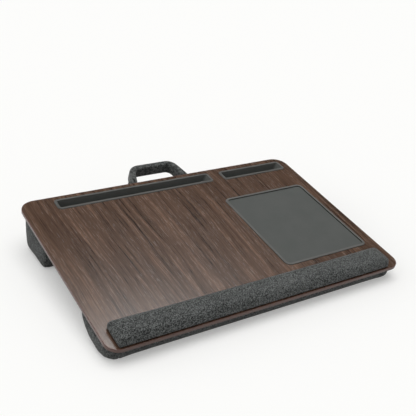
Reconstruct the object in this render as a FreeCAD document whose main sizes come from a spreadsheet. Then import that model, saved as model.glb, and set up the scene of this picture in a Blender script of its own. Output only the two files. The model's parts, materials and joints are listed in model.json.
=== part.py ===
import FreeCAD, Part

import math
import os
import Sketcher

# Lap desk: a walnut board with a tablet slot, a phone slot, a mouse pad and a wrist rest,
# standing on two fabric bolsters, with a padded carry handle at its rear edge.
#
# Two frames are used. In the board frame X runs to the right, Y to the rear and Z out of the
# board's top face, with the origin in the middle of that face. In the handle frame the origin is
# the middle of the swing axis and the XY plane is the plane of the loop. Every sub-part is drawn
# in one of them, and its Placement tilts it into the frame of the whole desk, which has +Z up and
# its origin on the floor, under the middle of the desk.

SIZES = (
    # the board and its stack of sheets
    ("board_width", 595.0),
    ("board_depth", 392.0),
    ("board_thick", 6.3),
    ("front_corner", 24.0),
    ("rear_corner", 28.0),
    ("laminate_thick", 0.8),
    ("backing_thick", 0.8),
    ("band_thick", 1.5),
    ("band_round", 0.7),
    # how the board stands
    ("tilt", 8.0),
    ("rest_height", 58.0),
    # the two device slots: outer sizes of their rims, and gaps to the board's edges
    ("tablet_left_gap", 63.0),
    ("tablet_rear_gap", 10.5),
    ("between_slots", 24.0),
    ("phone_length", 156.5),
    ("phone_right_gap", 17.0),
    ("phone_rear_gap", 13.25),
    ("slot_width", 31.0),
    ("slot_depth", 20.0),
    ("slot_corner", 8.0),
    ("rim_width", 5.0),
    ("rim_thick", 1.3),
    ("rim_bevel", 0.7),
    ("tray_wall", 1.5),
    ("well_corner", 3.0),
    ("tray_gap", 0.3),
    ("end_draft", 7.0),
    ("side_draft", 1.0),
    # the mouse pad, its frame and its recess
    ("pad_width", 193.0),
    ("pad_right_gap", 23.0),
    ("pad_front_gap", 71.7),
    ("pad_rear_gap", 104.4),
    ("pad_corner", 12.0),
    ("lip_thick", 1.2),
    ("recess_depth", 2.6),
    ("pad_gap", 0.2),
    ("mat_thick", 1.5),
    ("mat_drop", 0.7),
    # the wrist rest
    ("wrist_left_gap", 18.5),
    ("wrist_right_gap", 25.0),
    ("wrist_depth", 47.0),
    ("wrist_height", 19.0),
    ("wrist_setback", 3.0),
    ("wrist_crown", 12.0),
    ("wrist_end_round", 8.0),
    ("wrist_base_thick", 2.0),
    ("wrist_base_inset", 2.5),
    # the bolsters
    ("cover_thick", 1.0),
    ("panel_thick", 3.0),
    ("panel_gap", 0.3),
    ("rear_end_gap", 9.0),
    ("rear_wall_gap", 11.0),
    ("rear_depth", 107.0),
    ("rear_toe_in", 6.0),
    ("rear_heel_in", 14.0),
    ("rear_wall_drop", 26.0),
    ("rear_toe_round", 12.0),
    ("rear_heel_round", 14.0),
    ("rear_end_round", 12.0),
    ("front_left_gap", 1.0),
    ("front_right_gap", 4.0),
    ("front_wall_gap", 6.0),
    ("front_foot_depth", 30.0),
    ("front_depth", 106.0),
    ("front_belly", 158.0),
    ("front_corner_round", 27.0),
    ("front_sole_round", 5.0),
    ("front_panel_setback", 12.0),
    # screws that hold the bolster panels under the board
    ("screw_head", 3.5),
    ("screw_shank", 1.5),
    ("screw_length", 7.0),
    ("screw_head_depth", 2.0),
    ("screw_gap", 0.2),
    ("rear_screw_setback", 75.0),
    ("front_screw_setback", 40.0),
    ("screw_end_gap", 58.0),
    # the carry handle
    ("axis_behind", 11.0),
    ("axis_drop", 14.65),
    ("handle_rise", 9.0),
    ("handle_root", 57.0),
    ("handle_grip", 45.0),
    ("handle_reach", 38.2),
    ("handle_bend", 18.0),
    ("sleeve_thick", 12.0),
    ("sleeve_height", 21.0),
    ("sleeve_round", 4.5),
    ("sleeve_end_flat", 0.4),
    ("sleeve_skin", 1.0),
    ("webbing_thick", 2.5),
    ("webbing_width", 12.0),
    ("swing_gap", 0.3),
    ("tail_clear", 0.6),
    ("tail_under", 2.2),
    ("tab_length", 22.0),
)

Vector = FreeCAD.Vector
X_AXIS = Vector(1, 0, 0)
TOLERANCE = 0.01

doc = FreeCAD.newDocument("LapDesk")
sheet = doc.addObject("Spreadsheet::Sheet", "Dims")
nodes = []


class Size:
    """A size as a number and as the spreadsheet expression that it comes from."""

    def __init__(self, number, text):
        self.number = number
        self.text = text

    def __add__(self, other):
        other = as_size(other)
        return Size(self.number + other.number, f"({self.text} + {other.text})")

    def __sub__(self, other):
        other = as_size(other)
        return Size(self.number - other.number, f"({self.text} - {other.text})")

    def __mul__(self, other):
        other = as_size(other)
        return Size(self.number * other.number, f"({self.text} * {other.text})")

    def __truediv__(self, other):
        other = as_size(other)
        return Size(self.number / other.number, f"({self.text} / {other.text})")

    def __neg__(self):
        return Size(-self.number, f"(-1 * {self.text})")


def as_size(value):
    return value if isinstance(value, Size) else Size(float(value), repr(float(value)))


def sine(angle):
    return Size(math.sin(math.radians(angle.number)), f"sin({angle.text} * 1 deg)")


def cosine(angle):
    return Size(math.cos(math.radians(angle.number)), f"cos({angle.text} * 1 deg)")


def root(value):
    return Size(math.sqrt(value.number), f"sqrt({value.text})")


def fill_sheet():
    """Put the driving sizes in the sheet, and return them by name."""
    found = {}
    for row, (name, value) in enumerate(SIZES, 1):
        sheet.set(f"A{row}", name)
        sheet.set(f"B{row}", str(value))
        sheet.setAlias(f"B{row}", name)
        found[name] = Size(value, f"Dims.{name}")
    centre_row = len(SIZES) + 1
    sheet.set(f"A{centre_row}", "centre_shift")
    sheet.set(f"B{centre_row}", "0")
    sheet.setAlias(f"B{centre_row}", "centre_shift")
    doc.recompute()
    return found, f"B{centre_row}"


d, centre_cell = fill_sheet()
ZERO = as_size(0)

# Heights of the board's layers, in the board frame.
laminate_bottom = -d["laminate_thick"]
board_bottom = -d["board_thick"]
core_bottom = board_bottom + d["backing_thick"]
recess_floor = laminate_bottom - d["recess_depth"]
panel_bottom = board_bottom - d["panel_thick"]


# The board's edges, and what is set off from them, in the board frame.
board_right = d["board_width"] / 2
board_left = -board_right
board_rear = d["board_depth"] / 2
board_front = -board_rear
rear_wall = board_rear - d["rear_wall_gap"]
rear_heel = rear_wall - d["rear_heel_in"]
rear_front = rear_wall - d["rear_depth"]
rear_toe = rear_front + d["rear_toe_in"]
rear_right = board_right - d["rear_end_gap"]
front_wall = board_front + d["front_wall_gap"]
front_foot = front_wall + d["front_foot_depth"]
front_rise = front_wall + d["front_depth"]
front_left = board_left + d["front_left_gap"]
front_right = board_right - d["front_right_gap"]


def floor_at(y):
    """Height of the floor in the board frame, at a distance y behind the board's middle."""
    return -(d["rest_height"] + y * sine(d["tilt"])) / cosine(d["tilt"])


# ---------------------------------------------------------------- drawing helpers


def bind(thing, name, size):
    setattr(thing, name, size.number)
    thing.setExpression(name, size.text)


def place(thing, y=ZERO, z=ZERO, angle=ZERO):
    """Tilt a sub-part whose own origin lies at y, z in the board frame, turned by angle."""
    tilt = d["tilt"]
    turn = tilt + angle
    base_y = y * cosine(tilt) - z * sine(tilt)
    base_z = y * sine(tilt) + z * cosine(tilt) + d["rest_height"]
    thing.Placement = FreeCAD.Placement(Vector(0, 0, 0), FreeCAD.Rotation(X_AXIS, turn.number))
    thing.setExpression("Placement.Base.y", f"{base_y.text} + Dims.centre_shift")
    thing.setExpression("Placement.Base.z", base_z.text)
    thing.setExpression("Placement.Rotation.Angle", f"{turn.text} * 1 deg")


def keep(thing, label, **where):
    """Name a finished sub-part, place it and list it for export."""
    thing.Label = label
    place(thing, **where)
    nodes.append(thing)
    return thing


def body_called(name):
    return doc.addObject("PartDesign::Body", name)


def sketch_on(body, role, name, offset=ZERO):
    """A sketch on one of the body's own origin planes, moved along the plane's normal."""
    sketch = body.newObject("Sketcher::SketchObject", name)
    plane = [feature for feature in body.Origin.OriginFeatures if feature.Role == role][0]
    sketch.AttachmentSupport = (plane, [""])
    sketch.MapMode = "FlatFace"
    sketch.AttachmentOffset = FreeCAD.Placement(Vector(0, 0, offset.number), FreeCAD.Rotation())
    sketch.setExpression("AttachmentOffset.Base.z", offset.text)
    return sketch


def limit(sketch, kind, size, *where):
    """Add one dimension to a sketch and tie it to the sheet."""
    index = sketch.addConstraint(Sketcher.Constraint(kind, *where, size.number))
    sketch.setExpression(f"Constraints[{index}]", size.text)


def pin(sketch, element, point, x, y):
    limit(sketch, "DistanceX", x, -1, 1, element, point)
    limit(sketch, "DistanceY", y, -1, 1, element, point)


def line_between(sketch, start, end):
    return sketch.addGeometry(Part.LineSegment(Vector(*start), Vector(*end)), False)


def spot(x, y):
    return (x.number, y.number, 0)


def tangent(sketch, first, first_point, second, second_point):
    sketch.addConstraint(Sketcher.Constraint("Tangent", first, first_point, second, second_point))


def coincide(sketch, first, first_point, second, second_point):
    sketch.addConstraint(Sketcher.Constraint("Coincident", first, first_point, second, second_point))


def polygon(sketch, points):
    """A closed outline through the points, each of them pinned."""
    following = points[1:] + points[:1]
    lines = []
    for start, end in zip(points, following):
        line = line_between(sketch, spot(*start), spot(*end))
        pin(sketch, line, 1, *start)
        lines.append(line)
    for line, after in zip(lines, lines[1:] + lines[:1]):
        coincide(sketch, line, 2, after, 1)


def rectangle(sketch, left, right, low, high):
    polygon(sketch, [(left, low), (right, low), (right, high), (left, high)])


def arc_at(sketch, x, y, radius, start, end):
    """An arc pinned by its centre and radius; its ends are angles in degrees."""
    circle = Part.Circle(Vector(x.number, y.number, 0), Vector(0, 0, 1), radius.number)
    arc = sketch.addGeometry(Part.ArcOfCircle(circle, math.radians(start), math.radians(end)), False)
    pin(sketch, arc, 3, x, y)
    limit(sketch, "Radius", radius, arc)
    return arc


def rounded_rectangle(sketch, left, right, front, rear, front_radius, rear_radius):
    corners = (
        (right - rear_radius, rear - rear_radius, rear_radius, 0),
        (left + rear_radius, rear - rear_radius, rear_radius, 90),
        (left + front_radius, front + front_radius, front_radius, 180),
        (right - front_radius, front + front_radius, front_radius, 270),
    )
    arcs = [arc_at(sketch, x, y, radius, start, start + 90) for x, y, radius, start in corners]
    for arc, after in zip(arcs, arcs[1:] + arcs[:1]):
        line = line_between(sketch, sketch.getPoint(arc, 2), sketch.getPoint(after, 1))
        tangent(sketch, arc, 2, line, 1)
        tangent(sketch, line, 2, after, 1)


def circles(sketch, centres, radius):
    for x, y in centres:
        circle = Part.Circle(Vector(x.number, y.number, 0), Vector(0, 0, 1), radius.number)
        element = sketch.addGeometry(circle, False)
        pin(sketch, element, 3, x, y)
        limit(sketch, "Radius", radius, element)


def pad(body, sketch, length, symmetric=False):
    feature = body.newObject("PartDesign::Pad", "Pad")
    feature.Profile = sketch
    feature.SideType = "Symmetric" if symmetric else "One side"
    bind(feature, "Length", length)
    doc.recompute()


def pocket(body, sketch, length=None, symmetric=False, upward=False):
    """Cut a sketch out of the body, right through unless a length is given."""
    before = body.Shape.Volume
    feature = body.newObject("PartDesign::Pocket", "Pocket")
    feature.Profile = sketch
    feature.SideType = "Symmetric" if symmetric else "One side"
    feature.Reversed = upward
    if length is None:
        feature.Type = "ThroughAll"
    else:
        bind(feature, "Length", length)
    doc.recompute()
    if not body.Shape.Volume < before - TOLERANCE:
        raise RuntimeError(f"a pocket in {body.Name} cuts nothing")


def dress(body, kind, name, size, wanted):
    """Fillet or chamfer the edges of the body's tip for which wanted(edge) is true."""
    base = body.Tip
    edges = [f"Edge{index}" for index, edge in enumerate(base.Shape.Edges, 1) if wanted(edge)]
    if not edges:
        raise RuntimeError(f"no edges to dress in {body.Name}")
    feature = body.newObject(f"PartDesign::{kind}", kind)
    feature.Base = (base, edges)
    bind(feature, name, size)
    doc.recompute()


def fillet(body, radius, wanted):
    dress(body, "Fillet", "Radius", radius, wanted)


def chamfer(body, size, wanted):
    dress(body, "Chamfer", "Size", size, wanted)


def rising(low, high):
    """A test for edges that rise from one height to another."""
    return lambda edge: (abs(edge.BoundBox.ZMin - low.number) < TOLERANCE
                         and abs(edge.BoundBox.ZMax - high.number) < TOLERANCE)


def at_height(z):
    """A test for edges that lie flat at one height."""
    return rising(z, z)


def runs_along_x(edge):
    box = edge.BoundBox
    return box.YLength < TOLERANCE and box.ZLength < TOLERANCE


def starts_at(edge, y):
    return abs(edge.BoundBox.YMin - y.number) < TOLERANCE


def at_an_end(edge, left, right):
    """Whether an edge lies in one of the two end faces of a form drawn along X."""
    box = edge.BoundBox
    gap = min(abs(box.XMin - left.number), abs(box.XMin - right.number))
    return box.XLength < TOLERANCE and gap < TOLERANCE


def cut_away(base, tool, name):
    cut = doc.addObject("Part::Cut", name)
    cut.Base = base
    cut.Tool = tool
    doc.recompute()
    return cut


# ---------------------------------------------------------------- the board


def board_outline(sketch, inset):
    rounded_rectangle(
        sketch,
        board_left + inset,
        board_right - inset,
        board_front + inset,
        board_rear - inset,
        d["front_corner"] - inset,
        d["rear_corner"] - inset,
    )


class Slot:
    """The rim of a device slot, and the well below it."""

    def __init__(self, left, right, rear):
        self.left = left
        self.right = right
        self.front = rear - d["slot_width"]
        self.rear = rear

    def inside(self, inset, draft_x=ZERO, draft_y=ZERO):
        return (self.left + inset + draft_x, self.right - inset - draft_x,
                self.front + inset + draft_y, self.rear - inset - draft_y)

    def hole(self):
        """The cut-out that the well passes through."""
        return self.inside(d["rim_width"] - d["tray_wall"] - d["tray_gap"])


phone_right = board_right - d["phone_right_gap"]
phone_left = phone_right - d["phone_length"]
tablet_left = board_left + d["tablet_left_gap"]
tablet_slot = Slot(tablet_left, phone_left - d["between_slots"], board_rear - d["tablet_rear_gap"])
phone_slot = Slot(phone_left, phone_right, board_rear - d["phone_rear_gap"])
slots = (tablet_slot, phone_slot)


def pad_outline(sketch, inset):
    right = board_right - d["pad_right_gap"]
    rounded_rectangle(
        sketch,
        right - d["pad_width"] + inset,
        right - inset,
        board_front + d["pad_front_gap"] + inset,
        board_rear - d["pad_rear_gap"] - inset,
        d["pad_corner"] - inset,
        d["pad_corner"] - inset,
    )


recess_inset = d["rim_width"] - d["lip_thick"] - d["pad_gap"]


def screw_places(row):
    return [((rear_right - d["screw_end_gap"]) * step, row) for step in (-1, 0, 1)]


rear_screws = screw_places(rear_wall - d["rear_screw_setback"])
front_screws = screw_places(front_wall + d["front_screw_setback"])


def board_layer(name, bottom, top):
    """One layer of the board, with the holes for the two slot trays."""
    body = body_called(name)
    outline = sketch_on(body, "XY_Plane", "Outline", bottom)
    board_outline(outline, d["band_thick"])
    pad(body, outline, top - bottom)
    for slot in slots:
        hole = sketch_on(body, "XY_Plane", "SlotHole", top)
        rectangle(hole, *slot.hole())
        pocket(body, hole)
    return body


def make_wood_laminate():
    body = board_layer("WoodLaminate", laminate_bottom, ZERO)
    recess = sketch_on(body, "XY_Plane", "PadHole")
    pad_outline(recess, recess_inset)
    pocket(body, recess)
    keep(body, "wood_laminate")


def make_board_core():
    body = board_layer("BoardCore", core_bottom, laminate_bottom)
    recess = sketch_on(body, "XY_Plane", "PadRecess", laminate_bottom)
    pad_outline(recess, recess_inset)
    pocket(body, recess, d["recess_depth"])
    pilot = sketch_on(body, "XY_Plane", "PilotHoles", core_bottom)
    circles(pilot, rear_screws + front_screws, d["screw_shank"])
    pocket(body, pilot, panel_bottom + d["screw_length"] - core_bottom, upward=True)
    keep(body, "board_core")


def make_backing_sheet():
    body = board_layer("BackingSheet", board_bottom, core_bottom)
    holes = sketch_on(body, "XY_Plane", "ScrewHoles", core_bottom)
    circles(holes, rear_screws + front_screws, d["screw_shank"] + d["screw_gap"])
    pocket(body, holes)
    keep(body, "backing_sheet")


def make_edge_band():
    body = body_called("EdgeBand")
    outer = sketch_on(body, "XY_Plane", "Outside", board_bottom)
    board_outline(outer, ZERO)
    pad(body, outer, d["board_thick"])
    fillet(body, d["band_round"], lambda edge: at_height(ZERO)(edge) or at_height(board_bottom)(edge))
    inner = sketch_on(body, "XY_Plane", "Inside")
    board_outline(inner, d["band_thick"])
    pocket(body, inner)
    keep(body, "edge_band")


# ---------------------------------------------------------------- slots and mouse pad


def loft(body, kind, upper, lower):
    before = body.Shape.Volume
    feature = body.newObject(f"PartDesign::{kind}", kind)
    feature.Profile = upper
    feature.Sections = [lower]
    feature.Ruled = True
    doc.recompute()
    if abs(body.Shape.Volume - before) < TOLERANCE:
        raise RuntimeError(f"a loft in {body.Name} changes nothing")


def make_slot_tray(slot, name, label):
    """A rim that rests on the laminate, and a well whose walls draw in towards its floor."""
    body = body_called(name)
    rim = sketch_on(body, "XY_Plane", "Rim")
    rounded_rectangle(rim, *slot.inside(ZERO), d["slot_corner"], d["slot_corner"])
    pad(body, rim, d["rim_thick"])
    chamfer(body, d["rim_bevel"], at_height(d["rim_thick"]))
    opening = d["rim_width"]
    wall = d["tray_wall"]
    outer_top = sketch_on(body, "XY_Plane", "WellOutsideTop")
    rectangle(outer_top, *slot.inside(opening - wall))
    outer_floor = sketch_on(body, "XY_Plane", "WellOutsideFloor", -d["slot_depth"] - wall)
    rectangle(outer_floor, *slot.inside(opening - wall, d["end_draft"], d["side_draft"]))
    loft(body, "AdditiveLoft", outer_top, outer_floor)
    inner_top = sketch_on(body, "XY_Plane", "WellInsideTop", d["rim_thick"])
    rectangle(inner_top, *slot.inside(opening))
    inner_floor = sketch_on(body, "XY_Plane", "WellInsideFloor", -d["slot_depth"])
    rectangle(inner_floor, *slot.inside(opening, d["end_draft"], d["side_draft"]))
    loft(body, "SubtractiveLoft", inner_top, inner_floor)
    fillet(body, d["well_corner"], rising(-d["slot_depth"], d["rim_thick"]))
    keep(body, label)


def make_mouse_pad_frame():
    body = body_called("MousePadFrame")
    rim = sketch_on(body, "XY_Plane", "Rim")
    pad_outline(rim, ZERO)
    pad(body, rim, d["rim_thick"])
    chamfer(body, d["rim_bevel"], at_height(d["rim_thick"]))
    lip = sketch_on(body, "XY_Plane", "Lip", recess_floor)
    pad_outline(lip, d["rim_width"] - d["lip_thick"])
    pad(body, lip, -recess_floor)
    opening = sketch_on(body, "XY_Plane", "Opening", d["rim_thick"])
    pad_outline(opening, d["rim_width"])
    pocket(body, opening)
    keep(body, "mouse_pad_frame")


def make_pad_layer(name, label, bottom, top):
    body = body_called(name)
    outline = sketch_on(body, "XY_Plane", "Outline", bottom)
    pad_outline(outline, d["rim_width"] + d["pad_gap"])
    pad(body, outline, top - bottom)
    keep(body, label)


# ---------------------------------------------------------------- the wrist rest


def wrist_span(inset):
    """Left, right, front and rear of the wrist rest, drawn in by inset."""
    front = board_front + d["wrist_setback"]
    return (board_left + d["wrist_left_gap"] + inset,
            board_right - d["wrist_right_gap"] - inset,
            front + inset,
            front + d["wrist_depth"] - inset)


def make_wrist_rest_base():
    body = body_called("WristRestBase")
    outline = sketch_on(body, "XY_Plane", "Outline")
    inset = d["wrist_base_inset"]
    corner = d["wrist_end_round"] - inset
    rounded_rectangle(outline, *wrist_span(inset), corner, corner)
    pad(body, outline, d["wrist_base_thick"])
    keep(body, "wrist_rest_base")


def wrist_form(name, inset):
    """The crowned cushion above the base strip, drawn in by inset all round but below."""
    left, right, front, rear = wrist_span(inset)
    body = body_called(name)
    section = sketch_on(body, "YZ_Plane", "Section", (left + right) / 2)
    rectangle(section, front, rear, d["wrist_base_thick"], d["wrist_height"] - inset)
    pad(body, section, right - left, symmetric=True)
    top = d["wrist_height"] - inset
    fillet(body, d["wrist_crown"] - inset, lambda edge: runs_along_x(edge) and at_height(top)(edge))
    low = at_height(d["wrist_base_thick"])
    fillet(body, d["wrist_end_round"] - inset,
           lambda edge: at_an_end(edge, left, right) and not low(edge))
    return body


def make_wrist_rest():
    outside = wrist_form("WristOutside", ZERO)
    inside = wrist_form("WristInside", d["cover_thick"])
    cover = cut_away(outside, inside, "WristRestCover")
    keep(cover, "wrist_rest_cover")
    foam = wrist_form("WristRestFoam", d["cover_thick"])
    keep(foam, "wrist_rest_foam")


# ---------------------------------------------------------------- the bolsters


def rear_form(name, inset):
    """The rear bolster, drawn in by inset on its sides and sole but not on top."""
    body = body_called(name)
    section = sketch_on(body, "YZ_Plane", "Section")
    sole = inset / cosine(d["tilt"])
    toe = rear_toe + inset
    heel = rear_heel - inset
    wall = rear_wall - inset
    polygon(section, [
        (rear_front + inset, board_bottom),
        (toe, floor_at(toe) + sole),
        (heel, floor_at(heel) + sole),
        (wall, board_bottom - d["rear_wall_drop"]),
        (wall, board_bottom),
    ])
    half = rear_right - inset
    pad(body, section, half * 2, symmetric=True)
    for y, radius in ((toe, d["rear_toe_round"]), (heel, d["rear_heel_round"])):
        fillet(body, radius - inset, lambda edge: runs_along_x(edge) and starts_at(edge, y))
    upper = at_height(board_bottom)
    fillet(body, d["rear_end_round"] - inset,
           lambda edge: at_an_end(edge, -half, half) and not upper(edge))
    return body


def polygon_with_belly(sketch, points, belly, radius):
    """A closed outline through the points; the side that starts at one of them bulges down."""
    following = points[1:] + points[:1]
    sides = []
    for index, (start, end) in enumerate(zip(points, following)):
        if index == belly:
            sides.append(bulge(sketch, start, end, radius))
        else:
            sides.append((line_between(sketch, spot(*start), spot(*end)), 1, 2))
    for (side, first, _), start in zip(sides, points):
        pin(sketch, side, first, *start)
    for (side, _, last), (after, first, _) in zip(sides, sides[1:] + sides[:1]):
        coincide(sketch, side, last, after, first)


def bulge(sketch, start, end, radius):
    """An arc of one radius from start to end, curving to the right of that way."""
    ax, ay, _ = spot(*start)
    bx, by, _ = spot(*end)
    half = math.hypot(bx - ax, by - ay) / 2
    rise = math.sqrt(radius.number ** 2 - half ** 2)
    ux, uy = (bx - ax) / (2 * half), (by - ay) / (2 * half)
    cx, cy = (ax + bx) / 2 - uy * rise, (ay + by) / 2 + ux * rise
    circle = Part.Circle(Vector(cx, cy, 0), Vector(0, 0, 1), radius.number)
    arc = Part.ArcOfCircle(circle, math.atan2(ay - cy, ax - cx), math.atan2(by - cy, bx - cx))
    element = sketch.addGeometry(arc, False)
    limit(sketch, "Radius", radius, element)
    return element, 1, 2


def front_form(name, inset):
    """The front bolster: a foot on the floor, and a belly that rises to the board behind it."""
    body = body_called(name)
    sole = inset / cosine(d["tilt"])
    wall = front_wall + inset
    foot = front_foot
    rise = front_rise - inset
    section = sketch_on(body, "YZ_Plane", "Section", (front_left + front_right) / 2)
    polygon_with_belly(section, [
        (wall, board_bottom),
        (wall, floor_at(wall) + sole),
        (foot, floor_at(foot) + sole),
        (rise, board_bottom),
    ], 2, d["front_belly"] - inset)
    margin = d["front_corner_round"]
    pad(body, section, front_right - front_left + margin, symmetric=True)
    upper = at_height(board_bottom)
    fillet(body, d["front_sole_round"] - inset,
           lambda edge: runs_along_x(edge) and starts_at(edge, wall) and not upper(edge))
    trim = sketch_on(body, "XY_Plane", "PlanTrim", board_bottom)
    corner = margin - inset
    rectangle(trim, front_left - margin, front_right + margin, wall - margin, rise + margin * 2)
    rounded_rectangle(trim, front_left + inset, front_right - inset, wall, rise + margin, corner, corner)
    pocket(body, trim, symmetric=True)
    return body


def make_panel(name, left, right, front, rear, corner, screws):
    """A hardboard panel in a bolster's open top, with countersunk holes for its screws."""
    body = body_called(name)
    outline = sketch_on(body, "XY_Plane", "Outline", panel_bottom)
    rounded_rectangle(outline, left, right, front, rear, corner, corner)
    pad(body, outline, d["panel_thick"])
    holes = sketch_on(body, "XY_Plane", "ScrewHoles", board_bottom)
    circles(holes, screws, d["screw_shank"] + d["screw_gap"])
    pocket(body, holes)
    sinks = sketch_on(body, "XY_Plane", "HeadSinks", panel_bottom)
    circles(sinks, screws, d["screw_head"] + d["screw_gap"])
    pocket(body, sinks, d["screw_head_depth"] + d["screw_gap"], upward=True)
    return body


def clear_wells(body, top, depth):
    """Clear the room that the slot wells need at the rear of a bolster's piece."""
    for slot in slots:
        left, right, front, rear = slot.hole()
        room = sketch_on(body, "XY_Plane", "WellRoom", top)
        rectangle(room, left, right, front, rear + rear_wall)
        pocket(body, room, depth)


def clear_panel(body):
    """Take the panel's thickness off the top of a bolster's foam."""
    slab = sketch_on(body, "XY_Plane", "PanelRoom", board_bottom)
    rectangle(slab, board_left, board_right, board_front, board_rear)
    pocket(body, slab, d["panel_thick"])


def make_rear_bolster():
    inset = d["cover_thick"]
    outside = rear_form("RearOutside", ZERO)
    inside = rear_form("RearInside", inset)
    keep(cut_away(outside, inside, "RearBolsterCover"), "rear_bolster_cover")
    foam = rear_form("RearBolsterFoam", inset)
    clear_panel(foam)
    clear_wells(foam, panel_bottom, d["slot_depth"] + d["tray_wall"] + d["tray_gap"] + panel_bottom)
    keep(foam, "rear_bolster_foam")
    side = inset + d["panel_gap"]
    half = rear_right - side
    slope = d["rear_toe_in"] / (board_bottom - floor_at(rear_toe))
    front = rear_front + side + slope * d["panel_thick"]
    panel = make_panel("RearBolsterPanel", -half, half, front, rear_wall - side,
                       d["rear_end_round"], rear_screws)
    clear_wells(panel, board_bottom, d["panel_thick"])
    keep(panel, "rear_bolster_panel")


def make_front_bolster():
    inset = d["cover_thick"]
    outside = front_form("FrontOutside", ZERO)
    inside = front_form("FrontInside", inset)
    keep(cut_away(outside, inside, "FrontBolsterCover"), "front_bolster_cover")
    foam = front_form("FrontBolsterFoam", inset)
    clear_panel(foam)
    keep(foam, "front_bolster_foam")
    side = inset + d["panel_gap"]
    panel = make_panel("FrontBolsterPanel", front_left + side, front_right - side,
                       front_wall + side, front_rise - d["front_panel_setback"],
                       d["front_corner_round"], front_screws)
    keep(panel, "front_bolster_panel")


# ---------------------------------------------------------------- screws


def make_screws(name, label, places):
    """Countersunk screws, driven up through a bolster panel into the board's core."""
    made = []
    for index, (x, y) in enumerate(places, 1):
        head = doc.addObject("Part::Cone", f"{name}Head{index}")
        bind(head, "Radius1", d["screw_head"])
        bind(head, "Radius2", d["screw_shank"])
        bind(head, "Height", d["screw_head_depth"])
        shank = doc.addObject("Part::Cylinder", f"{name}Shank{index}")
        bind(shank, "Radius", d["screw_shank"])
        bind(shank, "Height", d["screw_length"])
        for solid in (head, shank):
            solid.setExpression("Placement.Base.x", x.text)
            solid.setExpression("Placement.Base.y", y.text)
            solid.setExpression("Placement.Base.z", panel_bottom.text)
        screw = doc.addObject("Part::Fuse", f"{name}{index}")
        screw.Base = head
        screw.Tool = shank
        made.append(screw)
    group = doc.addObject("Part::Compound", name)
    group.Links = made
    doc.recompute()
    keep(group, label)


# ---------------------------------------------------------------- the carry handle

axis_y = board_rear + d["axis_behind"]
axis_z = -d["axis_drop"]
lean = (d["handle_root"] - d["handle_grip"]) / d["handle_reach"]
stretch = root(lean * lean + 1)
bend_y = d["handle_reach"] - d["handle_bend"]
bend_x = d["handle_root"] - bend_y * lean - d["handle_bend"] * stretch
tail_radius = d["webbing_width"] / 2
slot_reach = tail_radius + d["swing_gap"] * 2


def leg_x(offset, y):
    """Half the loop's span at the distance y, on a line offset outwards from its middle."""
    return d["handle_root"] + stretch * offset - y * lean


def band(name, thick, height, start):
    """The loop as a band of one thickness, whose legs start at the distance start."""
    body = body_called(name)
    sketch = sketch_on(body, "XY_Plane", "Loop")
    sides = []
    slope = math.degrees(math.atan(lean.number))
    for sign in (1, -1):
        offset = thick / 2 * sign
        radius = d["handle_bend"] + offset
        right = arc_at(sketch, bend_x, bend_y, radius, slope, 90)
        left = arc_at(sketch, -bend_x, bend_y, radius, 90, 180 - slope)
        foot = leg_x(offset, start)
        right_leg = line_between(sketch, spot(foot, start), sketch.getPoint(right, 1))
        left_leg = line_between(sketch, sketch.getPoint(left, 2), spot(-foot, start))
        bar = line_between(sketch, sketch.getPoint(right, 2), sketch.getPoint(left, 1))
        pin(sketch, right_leg, 1, foot, start)
        pin(sketch, left_leg, 2, -foot, start)
        tangent(sketch, right_leg, 2, right, 1)
        tangent(sketch, right, 2, bar, 1)
        tangent(sketch, bar, 2, left, 1)
        tangent(sketch, left, 2, left_leg, 1)
        sides.append((right_leg, left_leg))
    (outer_right, outer_left), (inner_right, inner_left) = sides
    for outer, inner, end in ((outer_right, inner_right, 1), (outer_left, inner_left, 2)):
        cap = line_between(sketch, sketch.getPoint(outer, end), sketch.getPoint(inner, end))
        coincide(sketch, cap, 1, outer, end)
        coincide(sketch, cap, 2, inner, end)
    pad(body, sketch, height, symmetric=True)
    return body


def padded_band(name, inset, slotted):
    """The sleeve's loop drawn in by inset, with round leg ends that may be slotted for the tails."""
    height = d["sleeve_height"] - inset * 2
    start = -d["sleeve_height"] / 2 + inset
    body = band(name, d["sleeve_thick"] - inset * 2, height, start)
    fillet(body, (height - d["sleeve_end_flat"]) / 2,
           lambda edge: runs_along_x(edge) and starts_at(edge, start))
    fillet(body, d["sleeve_round"] - inset,
           lambda edge: at_height(height / 2)(edge) or at_height(-height / 2)(edge))
    if slotted:
        half = d["webbing_thick"] / 2 + d["swing_gap"]
        for side in (-1, 1):
            sketch = sketch_on(body, "XY_Plane", "TailSlot")
            middle = d["handle_root"] * side
            rectangle(sketch, middle - half, middle + half, -d["sleeve_height"], slot_reach)
            pocket(body, sketch, symmetric=True)
    return body


def keep_on_handle(thing, label):
    keep(thing, label, y=axis_y, z=axis_z, angle=d["handle_rise"])


def make_handle():
    outside = padded_band("SleeveOutside", ZERO, True)
    inside = padded_band("SleeveInside", d["sleeve_skin"], False)
    keep_on_handle(cut_away(outside, inside, "HandleSleeve"), "handle_sleeve")
    webbing_start = slot_reach + d["swing_gap"]
    webbing = band("HandleWebbing", d["webbing_thick"], d["webbing_width"], webbing_start)
    keep_on_handle(webbing, "handle_webbing")
    foam = padded_band("FoamForm", d["sleeve_skin"], True)
    core = band("WebbingRoom", d["webbing_thick"], d["webbing_width"], webbing_start)
    keep_on_handle(cut_away(foam, core, "HandlePadding"), "handle_padding")


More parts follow.
